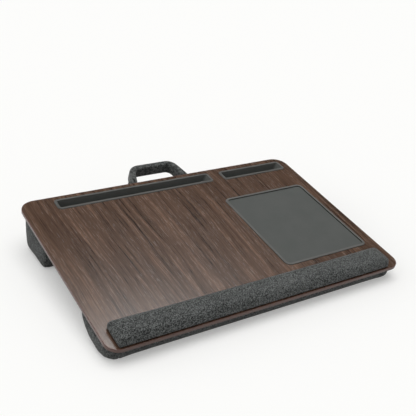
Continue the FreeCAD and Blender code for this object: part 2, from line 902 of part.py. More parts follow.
def make_handle_tail(side, name, label):
    """A webbing tail: its round end is the pivot, and its tab is sewn to the rear bolster."""
    body = body_called(name)
    root_x = d["handle_root"] * side
    top = board_bottom - d["tail_under"]
    bottom = axis_z - tail_radius
    under = board_rear + d["tail_clear"]
    section = sketch_on(body, "YZ_Plane", "Strap", root_x)
    corners = [(under, top), (rear_wall, top), (rear_wall, bottom)]
    run = (under - axis_y).number
    rise = (top - axis_z).number
    touch = math.atan2(rise, run) - math.acos(tail_radius.number / math.hypot(run, rise))
    end = arc_at(section, axis_y, axis_z, tail_radius, -90, math.degrees(touch))
    spots = [section.getPoint(end, 2)] + [spot(*corner) for corner in corners]
    spots.append(section.getPoint(end, 1))
    lines = [line_between(section, first, second) for first, second in zip(spots, spots[1:])]
    for line, corner in zip(lines, corners):
        pin(section, line, 2, *corner)
    for line, after in zip(lines, lines[1:]):
        coincide(section, line, 2, after, 1)
    tangent(section, end, 2, lines[0], 1)
    tangent(section, lines[-1], 2, end, 1)
    pad(body, section, d["webbing_thick"], symmetric=True)
    tab = sketch_on(body, "XY_Plane", "Tab", bottom)
    inner = root_x - d["webbing_thick"] / 2 * side
    outer = root_x + d["tab_length"] * side
    low, high = (inner, outer) if side > 0 else (outer, inner)
    rectangle(tab, low, high, rear_wall, rear_wall + d["webbing_thick"])
    pad(body, tab, top - bottom)
    keep(body, label)


# ---------------------------------------------------------------- build, check and write


def build_all():
    make_board_core()
    make_wood_laminate()
    make_backing_sheet()
    make_edge_band()
    make_slot_tray(tablet_slot, "TabletSlotTray", "tablet_slot_tray")
    make_slot_tray(phone_slot, "PhoneSlotTray", "phone_slot_tray")
    make_mouse_pad_frame()
    mat_bottom = -d["mat_drop"] - d["mat_thick"]
    make_pad_layer("MousePadMat", "mouse_pad_mat", mat_bottom, -d["mat_drop"])
    make_pad_layer("MousePadBacking", "mouse_pad_backing", recess_floor, mat_bottom)
    make_wrist_rest_base()
    make_wrist_rest()
    make_rear_bolster()
    make_front_bolster()
    make_screws("RearPanelScrews", "rear_panel_screws", rear_screws)
    make_screws("FrontPanelScrews", "front_panel_screws", front_screws)
    make_handle()
    make_handle_tail(-1, "HandleTailLeft", "handle_tail_left")
    make_handle_tail(1, "HandleTailRight", "handle_tail_right")


def centre_the_desk():
    """Move the origin under the middle of the whole desk's depth."""
    doc.recompute()
    whole = Part.makeCompound([node.Shape for node in nodes]).optimalBoundingBox(False, False)
    sheet.set(centre_cell, str(-(whole.YMin + whole.YMax) / 2))
    doc.recompute()


def check_all():
    for thing in doc.Objects:
        if "Invalid" in thing.State or "Error" in thing.State:
            raise RuntimeError(f"{thing.Name} failed: {thing.State}")
    for node in nodes:
        if node.Shape.isNull() or not node.Shape.isValid():
            raise RuntimeError(f"{node.Label} has no valid shape")


def write_all():
    os.makedirs("parts", exist_ok=True)
    for node in nodes:
        node.Shape.exportStep(os.path.join("parts", f"{node.Label}.step"))


build_all()
centre_the_desk()
check_all()
write_all()
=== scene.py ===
import json
import math

import bmesh
import bpy
from mathutils import Matrix, Vector


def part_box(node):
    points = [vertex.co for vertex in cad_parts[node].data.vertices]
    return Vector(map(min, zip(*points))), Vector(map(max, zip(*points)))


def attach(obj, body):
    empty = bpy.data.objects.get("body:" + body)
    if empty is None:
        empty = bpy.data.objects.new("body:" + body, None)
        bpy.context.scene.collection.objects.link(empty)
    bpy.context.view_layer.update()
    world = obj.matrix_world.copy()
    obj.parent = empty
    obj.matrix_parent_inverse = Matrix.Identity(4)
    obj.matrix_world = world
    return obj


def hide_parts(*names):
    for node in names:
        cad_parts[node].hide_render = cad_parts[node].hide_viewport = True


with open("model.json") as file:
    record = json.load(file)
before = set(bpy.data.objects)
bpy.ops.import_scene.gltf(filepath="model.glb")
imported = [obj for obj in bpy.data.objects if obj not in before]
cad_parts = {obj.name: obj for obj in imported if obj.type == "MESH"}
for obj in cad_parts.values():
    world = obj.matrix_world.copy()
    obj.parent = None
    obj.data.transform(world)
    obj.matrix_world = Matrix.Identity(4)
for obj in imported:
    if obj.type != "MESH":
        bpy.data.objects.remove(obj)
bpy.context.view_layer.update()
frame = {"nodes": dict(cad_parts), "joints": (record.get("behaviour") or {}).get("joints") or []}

MM = 0.001
TILT = math.radians(8.0)
HANDLE_RISE = math.radians(9.0)
LAMINATE_HALF = 0.4 * MM

# Where the desk is seen from.
CAMERA_AIM = (0.0265, 0.03318, 0.077)
CAMERA_DISTANCE = 1.35
CAMERA_AZIMUTH = math.radians(-35.18)
CAMERA_ELEVATION = math.radians(27.29)
CAMERA_ROLL = math.radians(6.2)
CAMERA_LENS = 61.66

# Colours, as linear red, green and blue.
WALNUT_DARK = (0.030, 0.0165, 0.0108)
WALNUT_MIDDLE = (0.077, 0.0435, 0.0285)
WALNUT_LIGHT = (0.150, 0.086, 0.056)
BAND_DARK = (0.102, 0.057, 0.047)
BAND_LIGHT = (0.124, 0.070, 0.058)
RIM_GREY = (0.088, 0.089, 0.083)
TRAY_GREY = (0.070, 0.071, 0.066)
MAT_GREY = (0.084, 0.089, 0.085)
# Painted light: a lighter grey for the trays' inner walls, which lie in shade.
TRAY_INSIDE_PAINTED_LIGHT = (0.120, 0.123, 0.116)
# Painted shade: near-black for the foot and inner face of the mouse pad frame.
FRAME_INSIDE_PAINTED_SHADE = (0.006, 0.006, 0.006)
BACKING_BROWN = (0.020, 0.018, 0.016)
BASE_BLACK = (0.006, 0.006, 0.006)
YARN_DARK = (0.012, 0.013, 0.013)
YARN_LIGHT = (0.152, 0.160, 0.156)
FELT_DARK = (0.008, 0.009, 0.009)
FELT_LIGHT = (0.110, 0.117, 0.113)
WEBBING_BLACK = (0.010, 0.010, 0.010)
WEBBING_LIGHT = (0.03, 0.03, 0.03)
SCREW_ZINC = (0.60, 0.60, 0.58)
BOARD_FIBRE = (0.30, 0.19, 0.10)
HAZE_GREY = (0.16, 0.16, 0.155)
BLACK = (0.0, 0.0, 0.0)
FLOOR_SEEN = (0.675, 0.675, 0.668)
FLOOR_BOUNCE = (0.30, 0.30, 0.295)
FLOOR_GLOW = (0.292, 0.292, 0.289)
SKY_WHITE = (0.97, 0.97, 0.965)

# How often the wood's patterns repeat in a metre: across the grain, along it and through it.
GRAIN_SWAY = (4.0, 1.7, 2.0)
GRAIN_RIPPLE = (45.0, 12.0, 12.0)
GRAIN_BANDS = (34.0, 2.4, 3.0)
GRAIN_LINES = (170.0, 4.6, 10.0)
GRAIN_STREAKS = (430.0, 9.0, 30.0)
GRAIN_PORES = (1200.0, 55.0, 60.0)
SWAY_REACH = 0.040
RIPPLE_REACH = 0.0045

# The same for the patterns of the cloth and of the moulded pieces.
CLOTH_FLECKS = 560.0
CLOTH_YARNS = (1300.0, 500.0, 1300.0)
CLOTH_CROSS_YARNS = (500.0, 1300.0, 900.0)
CLOTH_CLOUDS = 14.0
CLOTH_MOTTLE = 190.0
THREAD_PITCH = 0.0016
MOULD_CLOUDS = 25.0
# Height over which the painted light or painted shade of inner walls fades in.
PAINTED_INSIDE_FADE = 0.2 * MM

# How far up from the board's top the mouse pad frame is painted near-black: painted shade on its
# inner face beside the mat and along its foot.
FRAME_SHADE = 0.75 * MM

# The studio's light, as levels of white and as the heights or sides over which it fades. The
# gloss light and the dim room around it are seen only in reflections.
DIM_LEVEL = 0.42
OVERHEAD_LEVEL = 2.7
OVERHEAD_FADE = (0.84, 0.96)
LEFT_LEVEL = 0.9
LEFT_FADE = (-0.85, -0.40)
GLOSS_DIM = 0.02
GLOSS_LEVEL = 10.0
GLOSS_FADE = (0.970, 0.985)
GLOSS_SIDE = math.radians(132.0)
GLOSS_HEIGHT = math.radians(62.0)


# ------------------------------------------------------------------ places

def find_board_place():
    """The board's own frame: X right, Y to the rear, Z out of the middle of its top face."""
    low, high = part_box("wood_laminate")
    turn = Matrix.Rotation(TILT, 4, "X")
    face_offset = turn @ Vector((0, 0, LAMINATE_HALF))
    return Matrix.Translation((low + high) / 2 + face_offset) @ turn


def find_handle_place():
    """The handle's own frame: X along the swing axis, Y out along the loop."""
    joint = frame["joints"][0]
    return Matrix.Translation(joint["pos_m"]) @ Matrix.Rotation(TILT + HANDLE_RISE, 4, "X")


BOARD_PLACE = find_board_place()
HANDLE_PLACE = find_handle_place()
# Height of the board's top face for a pattern that is tipped back to the board.
BOARD_TOP = (Matrix.Rotation(-TILT, 3, "X") @ BOARD_PLACE.translation).z


# ------------------------------------------------------------------ finishes

class Finish:
    """Builds the nodes of one material or one node group, and keeps the code for it short."""

    def __init__(self, tree):
        self.tree = tree

    def add(self, kind, settings=None, **inputs):
        node = self.tree.nodes.new(kind)
        for key, value in (settings or {}).items():
            setattr(node, key, value)
        for key, value in inputs.items():
            self.feed(node, key.replace("_", " "), value)
        return node

    def feed(self, node, key, value):
        socket = node.inputs[int(key)] if key.isdigit() else node.inputs[key]
        if isinstance(value, bpy.types.NodeSocket):
            self.tree.links.new(value, socket)
        elif socket.type == "RGBA" and len(value) == 3:
            socket.default_value = (*value, 1.0)
        else:
            socket.default_value = value

    def maths(self, kind, first, second=0.0, third=0.0):
        node = self.tree.nodes.new("ShaderNodeMath")
        node.operation = kind
        for index, value in enumerate((first, second, third)):
            self.feed(node, str(index), value)
        return node.outputs[0]

    def shift(self, pattern, amount, base):
        """The base moved by a pattern's distance from its middle value, times an amount."""
        return self.maths("MULTIPLY_ADD", self.maths("SUBTRACT", pattern, 0.5), amount, base)

    def stretch(self, vector, scale):
        node = self.add("ShaderNodeMapping", Vector=vector, Scale=scale)
        return node.outputs[0]

    def noise(self, vector, scale, detail=2.0, roughness=0.5):
        node = self.add("ShaderNodeTexNoise", Vector=vector, Scale=scale, Detail=detail,
                        Roughness=roughness)
        return node.outputs["Fac"]

    def span(self, value, low, high, out_low=0.0, out_high=1.0):
        node = self.add("ShaderNodeMapRange", {"interpolation_type": "SMOOTHSTEP"})
        for key, item in zip(("Value", "From Min", "From Max", "To Min", "To Max"),
                             (value, low, high, out_low, out_high)):
            self.feed(node, key, item)
        return node.outputs["Result"]

    def mix(self, amount, first, second):
        node = self.tree.nodes.new("ShaderNodeMix")
        node.data_type = "RGBA"
        self.feed(node, "0", amount)
        self.feed(node, "6", first)
        self.feed(node, "7", second)
        return node.outputs[2]


def new_group(name, inputs, outputs):
    group = bpy.data.node_groups.new(name, "ShaderNodeTree")
    for socket_name, kind, value in inputs:
        socket = group.interface.new_socket(socket_name, in_out="INPUT", socket_type=kind)
        if value is not None:
            socket.default_value = (*value, 1.0) if kind == "NodeSocketColor" else value
    for socket_name, kind in outputs:
        group.interface.new_socket(socket_name, in_out="OUTPUT", socket_type=kind)
    finish = Finish(group)
    entry = group.nodes.new("NodeGroupInput")
    leave = group.nodes.new("NodeGroupOutput")
    return finish, entry.outputs, leave


COLOUR = "NodeSocketColor"
NUMBER = "NodeSocketFloat"
VECTOR = "NodeSocketVector"


def make_grain_group():
    """Wood grain that runs along Y: broad bands, growth lines, streaks and short dark pores."""
    finish, given, leave = new_group(
        "wood_grain",
        [("Place", VECTOR, None), ("Dark", COLOUR, WALNUT_DARK), ("Middle", COLOUR, WALNUT_MIDDLE),
         ("Light", COLOUR, WALNUT_LIGHT), ("Pores", NUMBER, 0.5)],
        [("Color", COLOUR), ("Roughness", NUMBER), ("Height", NUMBER)],
    )
    place = given["Place"]
    sway = finish.noise(finish.stretch(place, GRAIN_SWAY), 1.0, 2.0)
    ripple = finish.noise(finish.stretch(place, GRAIN_RIPPLE), 1.0, 1.0)
    apart = finish.add("ShaderNodeSeparateXYZ", Vector=place)
    swayed = finish.shift(sway, SWAY_REACH, apart.outputs["X"])
    swayed = finish.shift(ripple, RIPPLE_REACH, swayed)
    bent = finish.add("ShaderNodeCombineXYZ", X=swayed, Y=apart.outputs["Y"],
                      Z=apart.outputs["Z"]).outputs[0]
    bands = finish.noise(finish.stretch(bent, GRAIN_BANDS), 1.0, 3.0, 0.6)
    lines = finish.noise(finish.stretch(bent, GRAIN_LINES), 1.0, 2.0, 0.6)
    streaks = finish.noise(finish.stretch(bent, GRAIN_STREAKS), 1.0, 2.0, 0.65)
    pores = finish.noise(finish.stretch(bent, GRAIN_PORES), 1.0, 1.0, 0.5)
    tone = bands
    for pattern, amount in ((lines, 1.15), (streaks, 1.40), (pores, 0.85)):
        tone = finish.shift(pattern, amount, tone)
    lower = finish.mix(finish.span(tone, 0.02, 0.50), given["Dark"], given["Middle"])
    whole = finish.mix(finish.span(tone, 0.46, 1.02), lower, given["Light"])
    pore_mask = finish.span(pores, 0.56, 0.70)
    pore_depth = finish.maths("MULTIPLY", pore_mask, given["Pores"])
    darker = finish.mix(pore_depth, whole, finish.mix(0.55, whole, BLACK))
    finish.feed(leave, "Color", darker)
    sheen = finish.span(lines, 0.2, 0.8, 0.18, 0.25)
    finish.feed(leave, "Roughness", finish.maths("MULTIPLY_ADD", pore_depth, 0.15, sheen))
    relief = finish.maths("SUBTRACT", finish.maths("MULTIPLY", streaks, 0.5), pore_depth)
    finish.feed(leave, "Height", relief)
    return finish.tree


def make_cloth_group():
    """Heather cloth: flecks of light and dark yarn, and a fine weave."""
    finish, given, leave = new_group(
        "heather_cloth",
        [("Place", VECTOR, None), ("Dark", COLOUR, YARN_DARK), ("Light", COLOUR, YARN_LIGHT),
         ("Contrast", NUMBER, 1.0), ("Weave", NUMBER, 1.0), ("Mottle", NUMBER, 0.5)],
        [("Color", COLOUR), ("Roughness", NUMBER), ("Height", NUMBER)],
    )
    place = given["Place"]
    flecks = finish.noise(place, CLOTH_FLECKS, 2.0, 0.6)
    yarns = finish.noise(finish.stretch(place, CLOTH_YARNS), 1.0, 2.0, 0.6)
    cross_yarns = finish.noise(finish.stretch(place, CLOTH_CROSS_YARNS), 1.0, 2.0, 0.6)
    cloudy = finish.noise(place, CLOTH_CLOUDS, 2.0, 0.5)
    mottle = finish.noise(place, CLOTH_MOTTLE, 2.0, 0.55)
    apart = finish.add("ShaderNodeSeparateXYZ", Vector=place)
    threads = 2 * math.pi / THREAD_PITCH
    waves = [finish.maths("SINE", finish.maths("MULTIPLY", apart.outputs[axis], threads))
             for axis in ("X", "Y", "Z")]
    weave = finish.maths("MULTIPLY", waves[0], finish.maths("ADD", waves[1], waves[2]))
    tone = 0.5
    for pattern, amount in ((flecks, 2.9), (yarns, 0.9), (cross_yarns, 0.9), (cloudy, 0.22),
                            (mottle, given["Mottle"])):
        tone = finish.shift(pattern, amount, tone)
    centred = finish.shift(tone, given["Contrast"], 0.5)
    blend = finish.span(centred, 0.12, 1.12)
    finish.feed(leave, "Color", finish.mix(blend, given["Dark"], given["Light"]))
    finish.feed(leave, "Roughness", finish.span(tone, 0.0, 1.0, 0.98, 0.88))
    weave_height = finish.maths("MULTIPLY", given["Weave"], 0.30)
    yarn_height = finish.maths("MULTIPLY", yarns, 0.8)
    bumps = finish.maths("MULTIPLY_ADD", weave, weave_height, yarn_height)
    cross_height = finish.maths("MULTIPLY", cross_yarns, 0.8)
    finish.feed(leave, "Height", finish.maths("ADD", bumps, cross_height))
    return finish.tree


def make_mould_group():
    """The fine grain of a moulded or raw surface, with another tone painted below the height Inside
    Top: painted light or painted shade on inner walls.
    """
    finish, given, leave = new_group(
        "mould_grain",
        [("Place", VECTOR, None), ("Tone", COLOUR, RIM_GREY), ("Grain", NUMBER, 1800.0),
         ("Matte", NUMBER, 0.5), ("Inside", COLOUR, RIM_GREY), ("Inside Top", NUMBER, -1.0)],
        [("Color", COLOUR), ("Roughness", NUMBER), ("Height", NUMBER)],
    )
    place = given["Place"]
    fine = finish.noise(place, given["Grain"], 2.0, 0.6)
    cloudy = finish.noise(place, MOULD_CLOUDS, 3.0, 0.55)
    height = finish.add("ShaderNodeSeparateXYZ", Vector=place).outputs["Z"]
    over = finish.maths("SUBTRACT", height, given["Inside Top"])
    # Mask of the painted light or painted shade: 1 below Inside Top, fading to 0 above it.
    below = finish.span(over, -PAINTED_INSIDE_FADE, 0.0, 1.0, 0.0)
    tone = finish.mix(below, given["Tone"], given["Inside"])
    clouds = finish.span(cloudy, 0.25, 0.75, 0.0, 0.16)
    haze = finish.mix(below, HAZE_GREY, tone)
    lifted = finish.mix(clouds, tone, haze)
    specks = finish.span(fine, 0.3, 0.7, 0.0, 0.10)
    finish.feed(leave, "Color", finish.mix(specks, lifted, BLACK))
    finish.feed(leave, "Roughness", finish.shift(cloudy, 0.14, given["Matte"]))
    finish.feed(leave, "Height", fine)
    return finish.tree


GRAIN = make_grain_group()
CLOTH = make_cloth_group()
MOULD = make_mould_group()


def new_finish(name, group, group_inputs, turn=0.0, bump=0.3, depth=0.0002, **shader):
    """A Principled material with one of the groups. turn tips its pattern back to the board."""
    material = bpy.data.materials.new(name)
    material.use_nodes = True
    material.node_tree.nodes.clear()
    finish = Finish(material.node_tree)
    where = finish.add("ShaderNodeTexCoord").outputs["Object"]
    tipped = finish.add("ShaderNodeMapping", {"vector_type": "POINT"}, Vector=where,
                        Rotation=(-turn, 0.0, 0.0))
    pattern = finish.add("ShaderNodeGroup", {"node_tree": group})
    finish.feed(pattern, "Place", tipped.outputs[0])
    for key, value in group_inputs.items():
        finish.feed(pattern, key, value)
    surface = finish.add("ShaderNodeBsdfPrincipled")
    for key, value in shader.items():
        finish.feed(surface, key.replace("_", " "), value)
    finish.feed(surface, "Base Color", pattern.outputs["Color"])
    finish.feed(surface, "Roughness", pattern.outputs["Roughness"])
    relief = finish.add("ShaderNodeBump", Strength=bump, Distance=depth,
                        Height=pattern.outputs["Height"])
    finish.feed(surface, "Normal", relief.outputs["Normal"])
    out = finish.add("ShaderNodeOutputMaterial")
    finish.tree.links.new(surface.outputs["BSDF"], out.inputs["Surface"])
    return material


WALNUT = new_finish("walnut_sheet", GRAIN, {"Pores": 0.5}, turn=TILT, bump=0.25, depth=0.0001)
EDGE = new_finish("edge_band", GRAIN,
                  {"Dark": BAND_DARK, "Middle": BAND_LIGHT, "Light": BAND_LIGHT, "Pores": 0.2},
                  turn=TILT, bump=0.12, depth=0.0001, Specular_IOR_Level=0.35)
RAW_BOARD = new_finish("raw_fibreboard", MOULD,
                       {"Tone": BOARD_FIBRE, "Grain": 900.0, "Matte": 0.85})
BACKING = new_finish("backing_sheet", MOULD,
                     {"Tone": BACKING_BROWN, "Grain": 700.0, "Matte": 0.55})
# The trays' inner walls below the board's top are painted lighter: painted light in the shaded
# wells.
TRAY = new_finish("tray_plastic", MOULD,
                  {"Tone": TRAY_GREY, "Grain": 1800.0, "Matte": 0.46,
                   "Inside": TRAY_INSIDE_PAINTED_LIGHT, "Inside Top": BOARD_TOP},
                  turn=TILT, Specular_IOR_Level=0.35)
# The mouse pad frame is painted near-black below FRAME_SHADE over the board's top: painted shade in
# the gap around the mat.
RIM = new_finish("rim_plastic", MOULD,
                 {"Tone": RIM_GREY, "Grain": 1800.0, "Matte": 0.46,
                  "Inside": FRAME_INSIDE_PAINTED_SHADE, "Inside Top": BOARD_TOP + FRAME_SHADE},
                 turn=TILT, Specular_IOR_Level=0.35)
MAT = new_finish("mouse_mat", MOULD, {"Tone": MAT_GREY, "Grain": 2600.0, "Matte": 0.62},
                 bump=0.12, Specular_IOR_Level=0.15)
BASE = new_finish("black_strip", MOULD, {"Tone": BASE_BLACK, "Grain": 1500.0, "Matte": 0.6})
HEATHER = new_finish("heather_cover", CLOTH, {"Contrast": 1.45}, bump=0.7, depth=0.0004,
                     Sheen_Weight=0.1, Sheen_Roughness=0.5)
FELT = new_finish("handle_felt", CLOTH,
                  {"Dark": FELT_DARK, "Light": FELT_LIGHT, "Weave": 0.3,
                   "Contrast": 1.8, "Mottle": 2.2},
                  bump=0.7, depth=0.0004, Sheen_Weight=0.3, Sheen_Roughness=0.5)
WEBBING = new_finish("nylon_webbing", CLOTH,
                     {"Dark": WEBBING_BLACK, "Light": WEBBING_LIGHT, "Weave": 2.0},
                     bump=0.6, depth=0.0003)
ZINC = new_finish("zinc_screw", MOULD, {"Tone": SCREW_ZINC, "Grain": 3000.0, "Matte": 0.35},
                  Metallic=1.0)

NODE_FINISHES = {
    "wood_laminate": WALNUT, "edge_band": EDGE, "board_core": RAW_BOARD, "backing_sheet": BACKING,
    "tablet_slot_tray": TRAY, "phone_slot_tray": TRAY, "mouse_pad_frame": RIM, "mouse_pad_mat": MAT,
    "mouse_pad_backing": BASE, "wrist_rest_base": BASE, "wrist_rest_cover": HEATHER,
    "rear_bolster_cover": HEATHER, "front_bolster_cover": HEATHER, "wrist_rest_foam": BASE,
    "rear_bolster_foam": BASE, "front_bolster_foam": BASE, "rear_bolster_panel": RAW_BOARD,
    "front_bolster_panel": RAW_BOARD, "rear_panel_screws": ZINC, "front_panel_screws": ZINC,
    "handle_sleeve": FELT, "handle_padding": BASE, "handle_webbing": WEBBING,
    "handle_tail_left": WEBBING, "handle_tail_right": WEBBING,
}
for node_name, node in frame["nodes"].items():
    node.data.materials.clear()
    node.data.materials.append(NODE_FINISHES[node_name])


# ------------------------------------------------------------------ soft forms

# Sizes of the padded pieces in millimetres, in the board's own frame. SPARE is stock that a later
# cut takes away, and HAIR is the slack in telling where an edge lies.
SPARE = 10.0
HAIR = 0.1
BOARD_THICK = 6.3
BELOW_BOARD = -BOARD_THICK - 0.5
COVER_TOP = -BOARD_THICK - 0.05
REAR_HALF = 289.0
REAR_WALL = 184.0
REAR_FRONT = 79.0
REAR_WALL_FOOT = -33.0
REAR_HEEL = 171.0
REAR_TOE = 85.0
REAR_MIDDLE = (REAR_TOE + REAR_HEEL) / 2
REAR_ROUND = 13.0
REAR_TOE_ROUND = 7.0
REAR_END_ROUND = 7.0
REAR_HELD = -12.0
REAR_SWELL = 1.8
REAR_SEAM_IN = 9.0
FRONT_LEFT = -299.0
FRONT_RIGHT = 293.0
FRONT_WALL = -189.5
FRONT_FOOT = -160.0
FRONT_REAR = -82.0
FRONT_CORNER = 27.0
FRONT_SIDE_ROUND = 8.0
FRONT_SOLE_ROUND = 5.0
FRONT_HELD = -11.0
FRONT_SWELL = 2.0
FRONT_SEAM_IN = 24.0
WRIST_LEFT = -281.5
WRIST_RIGHT = 272.0
WRIST_FRONT = -194.8
WRIST_REAR = -146.5
WRIST_TOP = 18.0
WRIST_BOTTOM = 1.8
WRIST_ROOM = 6.0
WRIST_TUCK = 2.2
WRIST_LEAN = 5.0
WRIST_REAR_ROUND = 9.0
WRIST_FRONT_ROUND = 3.5
WRIST_LEFT_ROUND = 12.0
WRIST_RIGHT_ROUND = 15.0
WRIST_HELD = WRIST_BOTTOM + 1.5
WRIST_SWELL = 1.5
WELL_FRONT = 154.5
WELL_REAR = 182.6
WELL_FLOOR = -22.0
WELL_RIM = 3.2
HANDLE_ROOT = 57.0
HANDLE_GRIP = 45.0
HANDLE_REACH = 38.2
HANDLE_BEND = 18.0
HANDLE_THICK = 12.4
HANDLE_HEIGHT = 25.0
HANDLE_ROUND = 3.6
HANDLE_SWELL = 1.0
HANDLE_SLOT = 1.6
HANDLE_SLOT_REACH = 6.8

# The front bolster's rounded rear, as places along Y and heights off the floor.
FRONT_BELLY = ((-132.0, 6.0), (-108.0, 17.0))
# What the foot of the handle's left (-1) and right (1) leg spreads by, in millimetres and as a
# share of the leg's thickness.
HANDLE_SPLAY = {-1: 3.2, 1: -1.2}
HANDLE_FLARE = {-1: 0.60, 1: 0.12}
# The width and depth of the sewn seams.
REAR_SEAM = (2.2, 0.6)
FRONT_SEAM = (2.4, 0.8)

# How finely the padded pieces are made, and how hard they are stuffed.
BOLSTER_VOXEL = 5.0
WRIST_VOXEL = 3.0
LEG_STEPS = 9
BEND_STEPS = 7
GRIP_STEPS = 12
STUFFING = 4.0
HANDLE_STUFFING = 3.0
CLOTH_STEPS = 20

REST_HEIGHT = BOARD_PLACE.translation.z / MM
UP = Vector((0.0, math.sin(TILT), math.cos(TILT)))


def floor_at(y):
    """Height of the floor in the board's frame, in millimetres, y behind the board's middle."""
    return -(REST_HEIGHT + y * math.sin(TILT)) / math.cos(TILT)


def pick(piece):
    bpy.ops.object.select_all(action="DESELECT")
    piece.select_set(True)
    bpy.context.view_layer.objects.active = piece


def finish_start(name):
    piece = bpy.context.active_object
    piece.name = piece.data.name = name
    bpy.ops.object.transform_apply(location=True, rotation=True, scale=True)
    return piece


def start_box(name, low, high):
    """A box from one corner to the other, in millimetres."""
    low, high = Vector(low) * MM, Vector(high) * MM
    bpy.ops.object.select_all(action="DESELECT")
    bpy.ops.mesh.primitive_cube_add(size=1.0, location=(low + high) / 2, scale=high - low)
    return finish_start(name)


def slice_at(piece, point, normal, trim=True):
    """Cut a piece by a plane. trim clears the side the normal points to and closes the cut."""
    pick(piece)
    bpy.ops.object.mode_set(mode="EDIT")
    bpy.ops.mesh.select_all(action="SELECT")
    bpy.ops.mesh.bisect(plane_co=Vector(point) * MM, plane_no=normal, clear_outer=trim,
                        use_fill=trim)
    bpy.ops.object.mode_set(mode="OBJECT")


def trim_between(piece, start, end):
    """Trim what lies to the right of the way from start to end, both given as y, z."""
    along = Vector((0.0, end[0] - start[0], end[1] - start[1])).normalized()
    slice_at(piece, (0.0, *start), (0.0, along.z, -along.y))


def round_edges(piece, radius, segments, wanted):
    """Round the edges for which wanted(edge) is true, in millimetres."""
    pick(piece)
    bpy.ops.object.mode_set(mode="EDIT")
    bpy.ops.mesh.select_mode(type="EDGE")
    bpy.ops.mesh.select_all(action="DESELECT")
    shape = bmesh.from_edit_mesh(piece.data)
    for edge in shape.edges:
        edge.select_set(wanted(edge))
    bmesh.update_edit_mesh(piece.data)
    bpy.ops.mesh.bevel(offset=radius * MM, segments=segments, affect="EDGES")
    bpy.ops.object.mode_set(mode="OBJECT")


def apply_new(piece, kind, **settings):
    pick(piece)
    modifier = piece.modifiers.new(kind.title(), kind)
    for key, value in settings.items():
        setattr(modifier, key, value)
    bpy.ops.object.modifier_apply(modifier=modifier.name)


def middle_of(edge):
    return (edge.verts[0].co + edge.verts[1].co) / (2 * MM)


def along_x(edge):
    first, second = edge.verts[0].co, edge.verts[1].co
    return (first - second).yz.length < HAIR * MM


def swell(piece, pressure, cap, held):
    """Blow a closed form up like stuffed cloth. held(place) pins points; none moves past cap."""
    rest = [vertex.co.copy() for vertex in piece.data.vertices]
    pins = piece.vertex_groups.new(name="held")
    pins.add([index for index, place in enumerate(rest) if held(place / MM)], 1.0, "REPLACE")
    pick(piece)
    cloth = piece.modifiers.new("Cloth", "CLOTH")
    cloth.settings.quality = 6
    cloth.settings.mass = 0.2
    cloth.settings.tension_stiffness = cloth.settings.compression_stiffness = 18.0
    cloth.settings.bending_stiffness = 1.5
    cloth.settings.use_pressure = True
    cloth.settings.uniform_pressure_force = pressure
    cloth.settings.vertex_group_mass = pins.name
    cloth.settings.effector_weights.gravity = 0.0
    for step in range(1, CLOTH_STEPS + 1):
        bpy.context.scene.frame_set(step)
    bpy.ops.object.modifier_apply(modifier=cloth.name)
    bpy.context.scene.frame_set(1)
    for vertex, place in zip(piece.data.vertices, rest):
        move = vertex.co - place
        if move.length > cap * MM:
            vertex.co = place + move.normalized() * cap * MM
    piece.vertex_groups.clear()


def keep_off(piece, top):
    """Press a piece in the board's frame flat where it meets the floor and the board."""
    for vertex in piece.data.vertices:
        depth = vertex.co.dot(UP) + REST_HEIGHT * MM
        if depth < 0:
            vertex.co -= UP * depth
        vertex.co.z = min(vertex.co.z, top * MM)


def press_seam(piece, at, width, depth):
    """A sewn seam around a bolster at one place along X: the cloth dips into it."""
    for offset in (-width, -width / 2, 0.0, width / 2, width):
        slice_at(piece, (at + offset, 0.0, 0.0), (1.0, 0.0, 0.0), trim=False)
    for vertex in piece.data.vertices:
        off = abs(vertex.co.x / MM - at)
        if off < width:
            vertex.co -= vertex.normal * depth * MM * (0.5 + 0.5 * math.cos(math.pi * off / width))


def set_down(piece, place, body, slot, material, fill, *nodes):
    """Put a padded piece made in its own frame in its place, smooth it, give it its material,
    attach it to its body and hide the CAD nodes it stands for.
    """
    pick(piece)
    piece.matrix_world = place
    bpy.ops.object.transform_apply(location=True, rotation=True, scale=True)
    bpy.ops.object.shade_smooth()
    piece.data.materials.append(material)
    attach(piece, body)
    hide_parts(*nodes)


